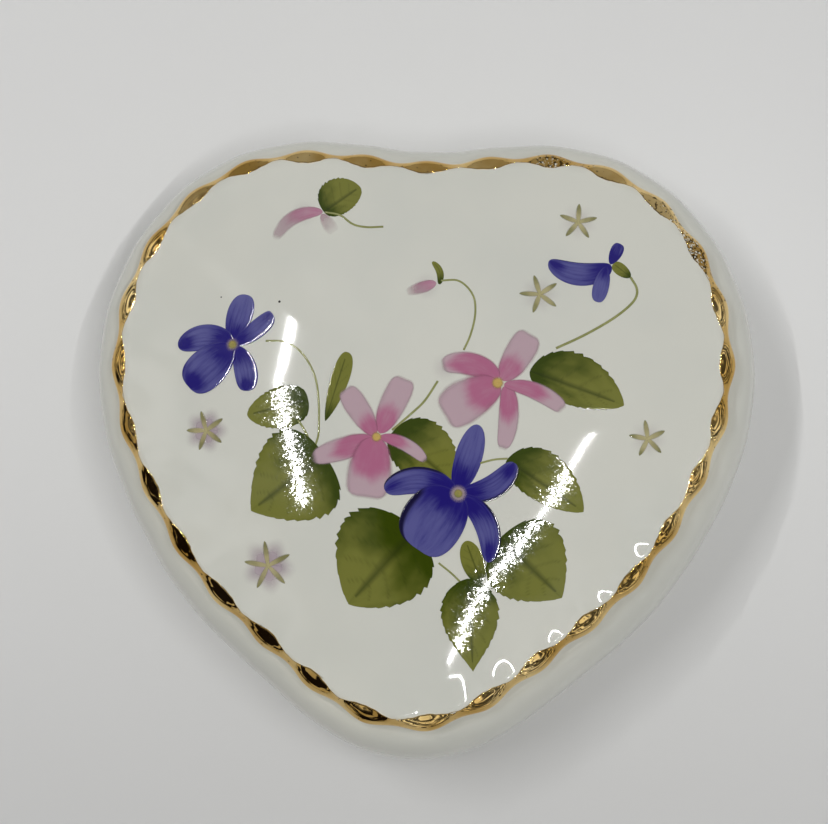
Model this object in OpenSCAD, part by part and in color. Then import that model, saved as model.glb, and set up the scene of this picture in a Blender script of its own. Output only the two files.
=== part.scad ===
// Heart-shaped porcelain trinket box: a bellied base and a loose domed lid with a scalloped
// gilt edge and a spray of violets in fired enamel. The notch of the heart faces +Y and its
// tip faces -Y. The origin is the middle of the box's own extents, on the surface it stands on.

/* [Outline] */
// Width of the heart across the middle of the gilt edge
lid_width = 78.5; // [74:0.5:84]
// Number of scallops around the lid's edge
scallops = 30; // [24:2:36]
// How far a scallop stands out past the pinch beside it
scallop_depth = 0.62; // [0.2:0.02:0.9]
// How far the scallops of the lower half run ahead of even spacing, in scallops
scallop_lead = 0.31; // [0:0.01:0.4]

/* [Base] */
// Height of the seat where the lid rests
seat_z = 22; // [20:0.5:26]
// How far the belly swells beyond the gilt edge
belly = 5; // [3:0.25:6]
// Height of the widest part of the belly
belly_z = 10.8; // [9.5:0.1:12]
// Porcelain wall of the base
base_wall = 3; // [2.5:0.1:3.4]
// Height of the floor inside the box
floor_z = 4; // [3.5:0.1:5]
// Height of the recess inside the foot ring
foot_height = 1.4; // [1:0.1:2]
// Width of the unglazed foot ring
foot_width = 3; // [2:0.25:4]

/* [Lid] */
// Height of the lid's edge above the seat
edge_height = 2.8; // [2.4:0.1:3.4]
// Height of the dome above the lid's edge
crown = 5; // [4:0.25:7]
// How far each pinch lifts the shoulder of the dome
pinch_rise = 0.6; // [0.1:0.05:0.7]
// Reach of that lift in from the edge
pinch_reach = 5; // [3:0.2:6]
// How much weaker the pinches grow towards the left side
pinch_lean = 0.75; // [0:0.05:1]
// Porcelain wall of the lid
lid_wall = 2.8; // [2.4:0.1:3]
// Depth of the locating flange below the seat
flange_depth = 2.6; // [2:0.1:3]
// Gap between the flange and the wall of the base
flange_gap = 0.6; // [0.4:0.1:0.8]

/* [Decoration] */
// Thickness of the fired gilding
gilt = 0.06; // [0.04:0.01:0.1]
// Thickness of the fired enamel
enamel = 0.08; // [0.06:0.01:0.12]

/* [Hidden] */

porcelain = "#E9E7DF";
gold = "#B98C3C";
blue = "#45418C";
pink = "#C98CAE";
green = "#66742A";
stem_green = "#8E8E57";
star_green = "#8C8A58";
yellow = "#BFA44C";

// The heart is a cosine series in the angle from the notch, drawn for this width.
drawn_width = 78.5;
harmonics = [37.1, 4.7, -0.7, -3.4, -0.55, -0.8, 0, -0.33];
unit = lid_width / drawn_width;

function total(v, i = 0) = i < len(v) ? v[i] + total(v, i + 1) : 0;
// The heart shrunk to rho of its size: its waves fade towards the middle, so that the small
// hearts are nearly round and the dome has no crease.
function fade(i) = min(i, 2);
function radius(a, rho = 1) = unit * rho
  * total([for (i = [0:len(harmonics) - 1]) harmonics[i] * pow(rho, fade(i)) * cos(i * a)]);
// Change of that radius with rho, at the outline.
function spread(a) = unit
  * total([for (i = [0:len(harmonics) - 1]) harmonics[i] * (1 + fade(i)) * cos(i * a)]);
function slope(a) = -unit * total([for (i = [0:len(harmonics) - 1]) i * harmonics[i] * sin(i * a)]);
function outline(a, rho = 1) = radius(a, rho) * [sin(a), cos(a)];
function outward(a) =
  let (t = slope(a) * [sin(a), cos(a)] + radius(a) * [cos(a), -sin(a)])
  [-t[1], t[0]] / norm(t);

// Distance run along the outline at each degree, so that the scallops are equally long.
run = [for (a = 0, s = 0; a <= 360; a = a + 1, s = s + norm(outline(a) - outline(a - 1))) [s, a]];
run_length = run[360][0];
// How far ahead the scallops are at a share of the way round, and the share at which a given
// number of scallops has gone by, closed in on from a first guess.
function lead(share) = scallop_lead * min(1, max(0, 0.5 - 0.75 * cos(360 * share)));
function share_at(count, guess, tries = 4) =
  tries == 0 ? guess : share_at(count, (count - lead(guess)) / scallops, tries - 1);
// One station is [point on the outline, outward direction, +1 at a scallop to -1 at a pinch,
// angle from the notch].
function stations(per_scallop) =
  [for (i = [0:scallops * per_scallop - 1])
    let (count = i / per_scallop, a = lookup(run_length * share_at(count, count / scallops), run))
    [outline(a), outward(a), cos(360 * count), a]];
lid_stations = stations(6);
base_stations = stations(4);

// A ring of points at distance d outside the outline and height z; both may swell with the
// scallops by d_wave and z_wave.
function ring(stns, d, z, d_wave = 0, z_wave = 0) =
  [for (s = stns)
    let (p = s[0] + (d + d_wave * s[2]) * s[1])
    [p[0], p[1], z + z_wave * s[2]]];

// Faces of a closed skin made of a pole, rings of n points from the top down, and a pole.
function skin_faces(n, rings) = concat(
  [for (i = [0:n - 1]) [0, 1 + i, 1 + (i + 1) % n]],
  [for (j = [0:rings - 2], i = [0:n - 1], half = [0, 1])
    let (a = 1 + j * n + i, b = 1 + j * n + (i + 1) % n)
    half == 0 ? [a, a + n, b + n] : [a, b + n, b]],
  [for (i = [0:n - 1])
    let (last = 1 + rings * n, row = 1 + (rings - 1) * n)
    [row + i, last, row + (i + 1) % n]]);

// Faces of a ring-shaped skin whose last row joins the first.
function loop_faces(n, rings) =
  [for (j = [0:rings - 1], i = [0:n - 1], half = [0, 1])
    let (a = j * n + i, b = j * n + (i + 1) % n, down = ((j + 1) % rings - j) * n)
    half == 0 ? [b + down, a + down, a] : [b, b + down, a]];

module skin(top, rows, bottom) {
  points = concat([top], [for (row = rows, p = row) p], [bottom]);
  polyhedron(points, skin_faces(len(rows[0]), len(rows)), convexity = 6);
}

module ring_skin(rows) {
  points = [for (row = rows, p = row) p];
  polyhedron(points, loop_faces(len(rows[0]), len(rows)), convexity = 6);
}

// The heart as a flat outline at distance d outside the gilt edge.
module heart(d) {
  polygon([for (s = base_stations) s[0] + d * s[1]]);
}

// The belly is the longest part front to back, so it sets where the origin lies.
belly_y = [for (s = base_stations) (s[0] + belly * s[1])[1]];
centre_y = (max(belly_y) + min(belly_y)) / 2;

// ---- base ----
opening = -2.5;
foot_edge = -1.2;
belly_rise = belly_z - foot_height;
shoulder_rise = seat_z - belly_z;
flute = 0.14;

// Outside of the base: a full belly, then a gentler curve in to the rim.
function belly_low(t) = foot_edge + (belly - foot_edge) * sin(90 * t);
function belly_high(t) = belly - (belly - 0.9) * (1 - cos(90 * t));

// Inside of the base as [distance, height above the floor], from the floor out to the wall.
hollow_foot = [[-9, 0], [-5, 0.3], [-0.6, 1.4], [1.4, 3.2]];

module base_body() {
  n = base_stations;
  wall_in = [for (t = [1, 0.75, 0.45, 0.15])
    ring(n, belly_high(1 - t) - base_wall, seat_z - 0.5 - (shoulder_rise - 0.5) * t)];
  wall_out = [for (t = [0.95, 0.8, 0.6, 0.4, 0.2, 0])
    ring(n, belly_high(t), belly_z + (shoulder_rise - 0.6) * sin(90 * t), flute * t)];
  foot = [for (t = [0.8, 0.6, 0.4, 0.2, 0])
    ring(n, belly_low(t), foot_height + belly_rise * (1 - cos(90 * t)))];
  skin([0, 0, floor_z],
    concat([for (h = hollow_foot) ring(n, h[0], floor_z + h[1])],
      wall_in,
      [ring(n, opening, seat_z - 0.4), ring(n, opening, seat_z), ring(n, 0.1, seat_z),
       ring(n, 0.6, seat_z - 0.15, flute)],
      wall_out, foot),
    [0, 0, foot_height]);
}

module box_base() {
  color(porcelain) translate([0, -centre_y, 0]) {
    base_body();
    linear_extrude(foot_height + 0.5) difference() {
      heart(foot_edge - 0.8);
      heart(foot_edge - 0.8 - foot_width);
    }
  }
}

// ---- lid ----
edge_z = seat_z + edge_height;
apex_z = edge_z + crown;
gilt_in = -0.75;
half_wave = scallop_depth / 2;
dome_rows = [0.14, 0.28, 0.42, 0.55, 0.67, 0.78, 0.86, 0.91, 0.955];

// The dome falls from its crown to the edge's height all the way round the heart, roundly over
// the middle and more straightly towards the edge.
function dome_z(rho) = edge_z + crown * (2 - sqrt(1 + 3 * rho * rho));
// Each pinch lifts the shoulder behind it, most at the edge and nothing at pinch_reach.
function rise(s, depth) =
  pinch_rise * (1 - pinch_lean * (1 - sin(s[3])) / 2) * (1 - s[2]) / 2
  * pow(max(0, 1 - depth / pinch_reach), 2);
function dome_point(s, rho, lift = 0) =
  let (p = outline(s[3], rho))
  [p[0], p[1], dome_z(rho) + rise(s, (s[0] - p) * s[1]) + lift];
function dome_ring(stns, rho, lift = 0) = [for (s = stns) dome_point(s, rho, lift)];

// Edge of the lid from the inner edge of the gilt over the crest and down to the seat.
// Each row is [distance, height below the edge's own height, swell outward, swell upward,
// share of the pinches' rise].
edge_rows = [
  [gilt_in, 0, -1.1, 0, 1],
  [-0.05, 0, 0.3, 0.4, 1],
  [0.45, 0.45, 0.8, 0.3, 0.8],
  [0.7, 1.3, 1, 0, 0.4],
  [0.45, 2.2, 0.6, 0, 0]];
// Direction in which the gilding stands on each of those rows: [outward, upward].
edge_out = [[0, 1], [0.2, 1], [0.8, 0.6], [1, 0], [1, 0]];

// On top of the edge the dome still rises inward, so a row's height follows its distance.
function edge_point(s, i, lift) =
  let (e = edge_rows[i], o = edge_out[i], d = e[0] + half_wave * e[2] * s[2],
    across = [sin(s[3]), cos(s[3])] * s[1] * spread(s[3]),
    p = s[0] + (d + lift * o[0]) * s[1])
  [p[0], p[1], dome_z(1 + min(d, 0) / across) - e[1] + half_wave * e[3] * s[2]
    + e[4] * rise(s, max(-d, 0)) + lift * o[1]];
function edge_ring(i, lift = 0) = [for (s = lid_stations) edge_point(s, i, lift)];

module box_lid() {
  n = lid_stations;
  flange_out = opening - flange_gap;
  flange_in = flange_out - 1.9;
  color(porcelain) translate([0, -centre_y, 0])
    skin([0, 0, apex_z],
      concat([for (rho = dome_rows) dome_ring(n, rho)],
        [for (i = [0:4]) edge_ring(i)],
        [ring(n, 0, seat_z), ring(n, flange_out, seat_z),
         ring(n, flange_out, seat_z - flange_depth),
         ring(n, flange_in, seat_z - flange_depth), ring(n, flange_in - 0.1, seat_z + 0.5)],
        [for (rho = [0.78, 0.52, 0.26]) dome_ring(n, rho, -lid_wall)]),
      [0, 0, apex_z - lid_wall]);
}

module gilt_rim() {
  color(gold) translate([0, -centre_y, 0])
    ring_skin(concat([for (i = [0:4]) edge_ring(i)], [for (i = [4:-1:0]) edge_ring(i, gilt)]));
}

// ---- enamel ----
// A petal or leaf from base to tip: wide holds its greatest half-widths to the left and right,
// widest says how far along they lie, and point sharpens its ends. Bow bends it to its left, and
// teeth serrate its edge.
function blade(base, tip, wide, widest, point, bow = 0, teeth = 0, steps = 12) =
  let (along = tip - base, left = [-along[1], along[0]] / norm(along),
    bend = (base + tip) / 2 + 2 * bow * left,
    spine = [for (t = [0:1 / steps:1]) (1 - t) * (1 - t) * base + 2 * t * (1 - t) * bend + t * t * tip],
    half = [for (i = [0:steps])
      pow(i / steps / widest, point * widest)
      * pow((1 - i / steps) / (1 - widest), point * (1 - widest))
      * (1 + (i % 2 == 0 ? teeth : -teeth))],
    side = [for (i = [0:steps])
      let (d = spine[min(i + 1, steps)] - spine[max(i - 1, 0)]) [-d[1], d[0]] / norm(d)])
  concat([for (i = [0:steps]) unit * (spine[i] + wide[0] * half[i] * side[i])],
    [for (i = [steps - 1:-1:1]) unit * (spine[i] - wide[1] * half[i] * side[i])]);

module petal(base, tip, wide, widest, point, bow = 0) {
  polygon(blade(base, tip, wide, widest, point, bow));
}

module leaf(base, tip, wide, widest, point, bow = 0) {
  polygon(blade(base, tip, wide, widest, point, bow, 0.03, 18));
}

// A thin stem that bends to its left by bow.
module stem(base, tip, bow) {
  polygon(blade(base, tip, [0.15, 0.15], 0.5, 0.15, bow, 0, 10));
}

module star(centre, reach, turn) {
  for (i = [0:4]) {
    aim = turn + 72 * i;
    out = [cos(aim), sin(aim)];
    polygon(blade(centre - 0.3 * out, centre + reach * out, [0.38, 0.38], 0.55, 1, 0, 0, 6));
  }
}

module dot(centre, r) {
  translate(unit * centre) circle(r * unit, $fn = 24);
}

module flower_centres() {
  dot([-23.9, 11.3], 0.63);
  dot([5.6, -7.2], 0.68);
  dot([-4.8, -0.4], 0.65);
  dot([10.1, 6.9], 0.8);
}

module blue_violets() {
  petal([-24, 11.5], [-22.4, 17.9], [1.85, 1.58], 0.6, 1);
  petal([-23.8, 11.5], [-19.1, 15.6], [0.66, 1.78], 0.6, 0.8);
  petal([-23.7, 11.1], [-21.8, 5.3], [1.63, 1.37], 0.62, 0.9, 0.52);
  petal([-23.9, 11.4], [-31, 10.9], [1.58, 1.85], 0.5, 0.9, -0.99);
  petal([-23.9, 11.1], [-29.4, 5.8], [2.5, 2.82], 0.6, 0.85);
  petal([5.4, -6.9], [7.8, 1.5], [1.62, 1.81], 0.5, 0.95);
  petal([5.8, -7], [12.4, -3.1], [1.37, 1.61], 0.55, 0.8, -1.24);
  petal([5.3, -7.1], [-3.5, -7.1], [1.61, 1.74], 0.55, 0.85, -1.37);
  petal([5.9, -7.6], [9.5, -15.5], [1.61, 1.36], 0.5, 0.85, 1.48);
  petal([5.4, -7.1], [0.9, -14.3], [3.34, 4.45], 0.55, 0.62);
  petal([24, 23.1], [25.2, 25.9], [0.79, 0.85], 0.65, 0.9);
  petal([24.1, 22.9], [16.2, 23.2], [1.83, 1.24], 0.5, 0.9, 1.18);
  petal([23.5, 22.7], [22.4, 18], [0.98, 1.04], 0.6, 0.9);
}

module pink_violets() {
  petal([-4.4, 0.1], [-1.3, 7.4], [2.15, 1.9], 0.62, 0.75);
  petal([-5, -0.2], [-9.2, 5.9], [1.71, 1.78], 0.6, 0.8);
  petal([-4.9, -0.8], [-13.1, -3.4], [1.51, 1.89], 0.5, 0.85);
  petal([-4.4, -0.4], [1.6, -3.5], [1, 1], 0.5, 0.9, 0.69);
  petal([-5, -0.5], [-5.9, -8.4], [3.19, 3.26], 0.6, 0.65);
  petal([10.6, 7.3], [14.1, 13.8], [1.98, 2.36], 0.6, 0.7);
  petal([10.1, 7.5], [2.8, 8.8], [1.78, 1.78], 0.5, 0.7, -1.08);
  petal([11.2, 6.6], [10.8, -1.7], [1.57, 1.38], 0.45, 0.75, 0.5);
  petal([10.9, 6.7], [18.6, 3.6], [1.39, 1.26], 0.6, 0.75, 0.82);
  petal([10.3, 6.8], [3.4, 2.1], [2.71, 3.66], 0.6, 0.68);
  petal([1.9, 19.8], [-2.1, 18.3], [0.98, 0.98], 0.5, 1);
  petal([-13.2, 29.2], [-19.3, 24.9], [1.21, 1.21], 0.5, 0.9, -1.48);
  petal([-13.3, 28.9], [-11.3, 26.2], [1.14, 1.14], 0.6, 0.9);
}

module leaves() {
  petal([-11.4, 1.5], [-9, 10.4], [1.02, 1.35], 0.66, 1.2);
  leaf([-13.7, 4.2], [-21.5, 2.2], [2.83, 2.58], 0.38, 1);
  leaf([-11.3, -2.8], [-20.5, -9.9], [6.22, 6.09], 0.31, 1.3);
  leaf([-2.8, 0.3], [4.8, -5.8], [4.37, 3], 0.42, 1);
  leaf([14.1, 8.6], [26, 4.8], [4.32, 2.41], 0.42, 1.3);
  leaf([11.5, -2.8], [21.2, -8.8], [3.98, 2.24], 0.4, 1.3);
  leaf([0.5, -11.8], [-7.7, -21.2], [5.7, 7.44], 0.38, 1.3);
  leaf([10.9, -12.5], [18.8, -19.5], [5.81, 5.07], 0.36, 1.4);
  leaf([7.1, -17.6], [8, -29], [3.58, 3.58], 0.36, 1.8);
  petal([8.7, -18], [6.7, -13], [1.48, 1.36], 0.5, 1);
  leaf([-13, 29.2], [-8.5, 32.8], [3.25, 1.83], 0.45, 0.95);
  petal([26.6, 21.5], [24.4, 23.2], [0.85, 0.78], 0.6, 0.9);
  petal([2.3, 19.6], [1.3, 22.6], [0.46, 0.46], 0.5, 0.8, -0.53);
}

module stems() {
  stem([-19.6, 11.9], [-13.3, 7.3], 1.5);
  stem([-13.4, 7.6], [-12.6, -2.1], 0.6);
  stem([-15.1, 1.7], [-13.3, -3.1], 0.3);
  stem([2.6, 20.1], [7, 16.5], 1.5);
  stem([7, 16.7], [5.6, 11], 0.2);
  stem([2.8, 7.1], [-2.5, 0.6], 0.5);
  stem([26.7, 21.7], [25.8, 17.1], 1);
  stem([26, 17.2], [17.3, 11.8], 0.4);
  stem([-13, 29.2], [-8.8, 27.5], 0.5);
  stem([-9, 27.6], [-5.2, 27.3], -0.4);
  stem([3.2, -15.7], [6.3, -18.3], 0);
  stem([8.2, -3.5], [12, -2.9], 0.2);
}

module star_blossoms() {
  star([-26.8, 0.2], 2.6, 180);
  star([-18.1, -16.7], 3.1, 172);
  star([19.8, 28.6], 2.5, 160);
  star([15.1, 18.7], 2.6, 180);
  star([29.1, 0.7], 2.4, 100);
}

// A thin skin over the dome, in from its last row. Its facets are longer than the lid's, so
// it stands a hair clear of them.
clear = 0.04;
module enamel_skin() {
  n = stations(3);
  rows = [for (i = [0:len(dome_rows) - 2]) dome_rows[i]];
  skin([0, 0, apex_z + enamel],
    concat([for (rho = rows) dome_ring(n, rho, enamel)],
      [for (i = [len(rows) - 1:-1:0]) dome_ring(n, rows[i], clear)]),
    [0, 0, apex_z + clear]);
}

// Fused enamel of one colour, where its flat outline falls on the dome.
module fired(colour) {
  color(colour) translate([0, -centre_y, 0]) intersection() {
    enamel_skin();
    translate([0, 0, seat_z]) linear_extrude(apex_z - seat_z + 1) children();
  }
}

module flower_centre_enamel() {
  fired(yellow) flower_centres();
}

module blue_violet_enamel() {
  fired(blue) difference() {
    blue_violets();
    flower_centres();
  }
}

module pink_violet_enamel() {
  fired(pink) difference() {
    pink_violets();
    flower_centres();
    blue_violets();
  }
}

module leaf_enamel() {
  fired(green) difference() {
    leaves();
    blue_violets();
    pink_violets();
  }
}

module star_blossom_enamel() {
  fired(star_green) difference() {
    star_blossoms();
    leaves();
  }
}

module stem_enamel() {
  fired(stem_green) difference() {
    stems();
    leaves();
    pink_violets();
    blue_violets();
  }
}

box_base();
box_lid();
gilt_rim();
blue_violet_enamel();
pink_violet_enamel();
leaf_enamel();
stem_enamel();
star_blossom_enamel();
flower_centre_enamel();
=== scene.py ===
"""Looks of the heart-shaped porcelain trinket box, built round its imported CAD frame."""

import math

import bpy
import numpy as np
from mathutils import Matrix, Vector


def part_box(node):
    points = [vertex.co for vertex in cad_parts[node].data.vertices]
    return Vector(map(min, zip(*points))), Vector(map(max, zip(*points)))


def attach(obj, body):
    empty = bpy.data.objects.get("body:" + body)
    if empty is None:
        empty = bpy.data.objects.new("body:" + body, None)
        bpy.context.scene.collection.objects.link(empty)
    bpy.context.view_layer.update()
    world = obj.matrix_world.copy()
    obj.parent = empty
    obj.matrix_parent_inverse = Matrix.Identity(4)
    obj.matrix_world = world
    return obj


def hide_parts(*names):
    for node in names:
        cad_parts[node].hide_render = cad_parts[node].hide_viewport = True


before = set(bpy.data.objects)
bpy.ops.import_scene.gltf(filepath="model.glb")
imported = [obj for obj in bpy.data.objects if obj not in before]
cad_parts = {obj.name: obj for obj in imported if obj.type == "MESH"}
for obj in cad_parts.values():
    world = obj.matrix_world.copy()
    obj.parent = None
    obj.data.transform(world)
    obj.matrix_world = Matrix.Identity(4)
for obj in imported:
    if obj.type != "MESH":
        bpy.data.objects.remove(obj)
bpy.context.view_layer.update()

# ---------------------------------------------------------------- sizes, in millimetres
MM = 0.001
# These weights, the places of the enamel pieces, the camera and the ends of the light streaks
# were found by scratch programs from points picked in the photograph, and rounded. They aren't
# a design: report.md says so under its departures from the brief.
HARMONICS = (37.1, 4.7, -0.7, -3.4, -0.55, -0.8, 0.0, -0.33)
SCALLOPS = 30
SCALLOP_SWELL = 0.31
SCALLOP_LEAD = 0.31
SEAT_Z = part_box("box_base")[1].z / MM
APEX_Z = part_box("box_lid")[1].z / MM
LID_EDGE = 2.8
EDGE_Z = SEAT_Z + LID_EDGE
CROWN = APEX_Z - EDGE_Z
PINCH_RISE = 0.6
PINCH_REACH = 5
PINCH_LEAN = 0.75
# The right-hand lobe ends at this angle from the notch, and its pinches rise less.
LOBE_END = 1.7
LOBE_FADE = 0.25
LOBE_SHARE = 0.3
LID_WALL = 2.8
BELLY = 5.0
BELLY_Z = 10.8
BASE_WALL = 3.0
FLOOR_Z = 4.0
FOOT_Z = 1.4
FOOT_EDGE = -1.2
OPENING = -2.5
FLANGE_OUT = -3.1
FLANGE_IN = -5.0
FLANGE_DEPTH = 2.6
FLUTE = 0.14
GILT = 0.06
ENAMEL_SKIRT = -0.02


# ---------------------------------------------------------------- the heart and the dome
def waves(angle, weights):
    """Sum of the heart's cosine waves, each multiplied by its weight."""
    return sum(h * w * np.cos(i * angle) for i, (h, w) in enumerate(zip(HARMONICS, weights)))


def fades(rho):
    """How strong each wave is in the heart shrunk to rho of its size."""
    return [rho ** min(i, 2) for i in range(len(HARMONICS))]


def radius(angle, rho=1.0):
    """Distance from the heart's centre to its outline, shrunk to rho."""
    return rho * waves(angle, fades(rho))


def spread(angle, rho=1.0):
    """Change of the radius with rho."""
    return waves(angle, [(1 + min(i, 2)) * f for i, f in enumerate(fades(rho))])


def outline(angle, rho=1.0):
    """Points on the heart shrunk to rho, by angle from the notch, clockwise from above."""
    r = radius(angle, rho)
    return np.stack([r * np.sin(angle), r * np.cos(angle)], -1)


def outward(angle):
    """Outward direction of the full heart's outline."""
    slope = -sum(i * h * np.sin(i * angle) for i, h in enumerate(HARMONICS))
    r = radius(angle)
    tx = slope * np.sin(angle) + r * np.cos(angle)
    ty = slope * np.cos(angle) - r * np.sin(angle)
    length = np.hypot(tx, ty)
    return np.stack([-ty / length, tx / length], -1)


TURN = np.linspace(0, 2 * math.pi, 3601)
_steps = np.linalg.norm(np.diff(outline(TURN), axis=0), axis=1)
RUN = np.concatenate([[0], np.cumsum(_steps)]) / _steps.sum()


def stations(count):
    """Angles of equally long steps round the outline."""
    return np.interp(np.arange(count) / count, RUN, TURN)


def scallop(angle):
    """+1 on a scallop to -1 on the pinch beside it."""
    run = np.interp(angle % (2 * math.pi), TURN, RUN)
    lead = SCALLOP_LEAD * np.clip(0.5 - 0.75 * np.cos(2 * math.pi * run), 0, 1)
    return np.cos(2 * math.pi * (SCALLOPS * run + lead))


def dome_z(rho):
    """Height of the plain dome on the heart shrunk to rho."""
    return EDGE_Z + CROWN * (2 - np.sqrt(1 + 3 * rho * rho))


def pinch_rise(angle, depth):
    """How far each pinch lifts the dome's shoulder at a distance in from the outline.

    The lifts grow weaker towards the left, and those of the right-hand lobe are weaker as well.
    """
    strength = PINCH_RISE * (1 - PINCH_LEAN * (1 - np.sin(angle)) / 2)
    past_lobe = (angle % (2 * math.pi) - LOBE_END) / LOBE_FADE
    strength = strength * np.clip(past_lobe, LOBE_SHARE, 1)
    return strength * (1 - scallop(angle)) / 2 * np.clip(1 - depth / PINCH_REACH, 0, 1) ** 2


def rho_at(x, y):
    """Size of the shrunken heart that passes through each point, and the point's angle."""
    angle, far = np.arctan2(x, y), np.hypot(x, y)
    rho = far / radius(angle)
    for _ in range(8):
        rho = np.clip(rho - (radius(angle, rho) - far) / spread(angle, rho), 0, 1.05)
    return rho, angle


def lid_z(x, y):
    """Height of the lid's upper surface over any point inside the gilt."""
    rho, angle = rho_at(x, y)
    gap = outline(angle) - np.stack([x, y], -1)
    depth = (gap * outward(angle)).sum(-1)
    return dome_z(rho) + pinch_rise(angle, depth)


def belly_middle():
    """Middle of the belly front to back, which the frame's origin lies under."""
    angle = stations(SCALLOPS * 4)
    y = (outline(angle) + BELLY * outward(angle))[:, 1]
    return (y.max() + y.min()) / 2


CENTRE_Y = belly_middle()


# ---------------------------------------------------------------- meshes
def new_object(name, points, faces):
    """A smooth mesh object from points in millimetres about the heart's own centre."""
    verts = (np.asarray(points, float) - [0, CENTRE_Y, 0]) * MM
    mesh = bpy.data.meshes.new(name)
    mesh.from_pydata(verts.tolist(), [], faces)
    mesh.validate()
    mesh.shade_smooth()
    obj = bpy.data.objects.new(name, mesh)
    bpy.context.scene.collection.objects.link(obj)
    return obj


def set_values(mesh, name, values):
    """Keeps a value for each point of a mesh, which its material reads by name."""
    mesh.attributes.new(name, "FLOAT", "POINT").data.foreach_set("value", values)


def ring_faces(rows, count):
    """Quads between rings of points, from the top ring down, as seen from outside."""
    j, i = np.meshgrid(np.arange(rows - 1), np.arange(count), indexing="ij")
    k, n = j + 1, (i + 1) % count
    quads = np.stack([j * count + i, j * count + n, k * count + n, k * count + i], -1)
    return quads.reshape(-1, 4).tolist()


def capped_skin(name, top, rows, bottom):
    """A closed skin: a pole, rings of points and a pole."""
    rows = np.asarray(rows)
    count, size = rows.shape[1], rows.shape[0] * rows.shape[1]
    faces = ring_faces(rows.shape[0], count)
    faces += [[size, (i + 1) % count, i] for i in range(count)]
    last = size - count
    faces += [[size + 1, last + i, last + (i + 1) % count] for i in range(count)]
    return new_object(name, np.concatenate([rows.reshape(-1, 3), [top], [bottom]]), faces)


def ring(angle, d, z):
    """A ring of points at distance d outside the outline."""
    p = outline(angle) + np.asarray(d)[..., None] * outward(angle)
    return np.column_stack([p, np.broadcast_to(z, len(angle))])


def dome_ring(angle, rho, lift=0.0):
    """A ring on the dome round the heart shrunk to rho, raised by lift."""
    p = outline(angle, rho)
    depth = ((outline(angle) - p) * outward(angle)).sum(-1)
    return np.column_stack([p, dome_z(rho) + pinch_rise(angle, depth) + lift])


# Edge of the lid: distance, drop below the edge's own height, swell outward, swell upward and
# share of the pinches' rise.
EDGE = np.array([
    (-0.75, 0.0, -1.1, 0.0, 1.0),
    (-0.05, 0.25, 0.3, 0.4, 1.0),
    (0.45, 0.7, 0.8, 0.3, 0.8),
    (0.7, 1.3, 1.0, 0.0, 0.4),
    (0.45, 2.2, 0.6, 0.0, 0.0),
    (0.0, LID_EDGE, 0.0, 0.0, 0.0)])


def smooth_rows(rows, per_gap):
    """Catmull-Rom curve through the rows."""
    rows = np.asarray(rows, float)
    ends = np.vstack([2 * rows[0] - rows[1], rows, 2 * rows[-1] - rows[-2]])
    out = []
    for a, b, c, d in zip(ends, ends[1:], ends[2:], ends[3:]):
        for t in np.arange(per_gap) / per_gap:
            out.append(0.5 * (2 * b + (c - a) * t + (2 * a - 5 * b + 4 * c - d) * t * t
                              + (3 * b - a - 3 * c + d) * t ** 3))
    return np.array(out + [rows[-1]])


def edge_ring(angle, row, lift=0.0, way=(0, 1)):
    """A ring on the lid's rounded edge, raised by lift along way (outward, upward)."""
    wave = SCALLOP_SWELL * scallop(angle)
    d = row[0] + row[2] * wave
    across = (np.stack([np.sin(angle), np.cos(angle)], -1) * outward(angle)).sum(-1)
    rho = 1 + np.minimum(d, 0) / (across * spread(angle))
    z = dome_z(rho) - row[1] + row[3] * wave + row[4] * pinch_rise(angle, np.maximum(-d, 0))
    return ring(angle, d + lift * way[0], z + lift * way[1])


def flat_ring(angle, rho, z):
    """A level ring on the outline scaled by rho."""
    return np.column_stack([outline(angle) * rho, np.full(len(angle), z)])


def make_lid():
    """The lid: dome, rounded edge, locating flange and hollow underside, in one closed skin."""
    angle = stations(SCALLOPS * 18)
    inner = [dome_ring(angle, rho) for rho in np.linspace(0.03, 0.84, 26)]
    outer = [dome_ring(angle, rho) for rho in np.linspace(0.852, 0.965, 14)]
    edge = [edge_ring(angle, row) for row in smooth_rows(EDGE, 5)]
    flange = [(FLANGE_OUT + 0.3, SEAT_Z), (FLANGE_OUT, SEAT_Z - 0.3),
              (FLANGE_OUT, SEAT_Z - FLANGE_DEPTH + 0.4),
              (FLANGE_OUT - 0.4, SEAT_Z - FLANGE_DEPTH),
              (FLANGE_IN + 0.4, SEAT_Z - FLANGE_DEPTH),
              (FLANGE_IN, SEAT_Z - FLANGE_DEPTH + 0.4),
              (FLANGE_IN - 0.1, SEAT_Z + 0.5)]
    neck = [ring(angle, d, z) for d, z in flange]
    under = [dome_ring(angle, rho, -LID_WALL) for rho in np.linspace(0.78, 0.03, 12)]
    return capped_skin("lid_porcelain", (0, 0, APEX_Z), inner + outer + edge + neck + under,
                       (0, 0, APEX_Z - LID_WALL))


# The visible belly stays just inside the CAD model's. Under the lid it comes in to RIM_REACH
# outside the outline.
BELLY_SKIN = BELLY - 0.03
RIM_REACH = 0.9
# Profiles as distances outside the outline and heights: the hollow from its floor up, above the
# floor, and the foot from outside in, above the table. Two of the foot's bands are glazed
# before the unglazed ones start.
HOLLOW = ((-9, 0), (-5, 0.3), (-0.6, 1.4), (1.4, 3.2), (2.0, BELLY_Z - FLOOR_Z))
FOOT = ((-1.9, 1.25), (-2.0, 1.0), (-2.0, 0.25), (-2.2, 0.0), (-4.8, 0.0), (-5.0, 0.25),
        (-5.0, 1.1), (-5.4, 1.35), (-7.0, FOOT_Z))
UNGLAZED_FROM, UNGLAZED_TO = 2, 5


def belly_low(t):
    """How far the belly stands out below its widest line, from the foot (0) up to it (1)."""
    return FOOT_EDGE + (BELLY_SKIN - FOOT_EDGE) * math.sin(t * math.pi / 2)


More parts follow.
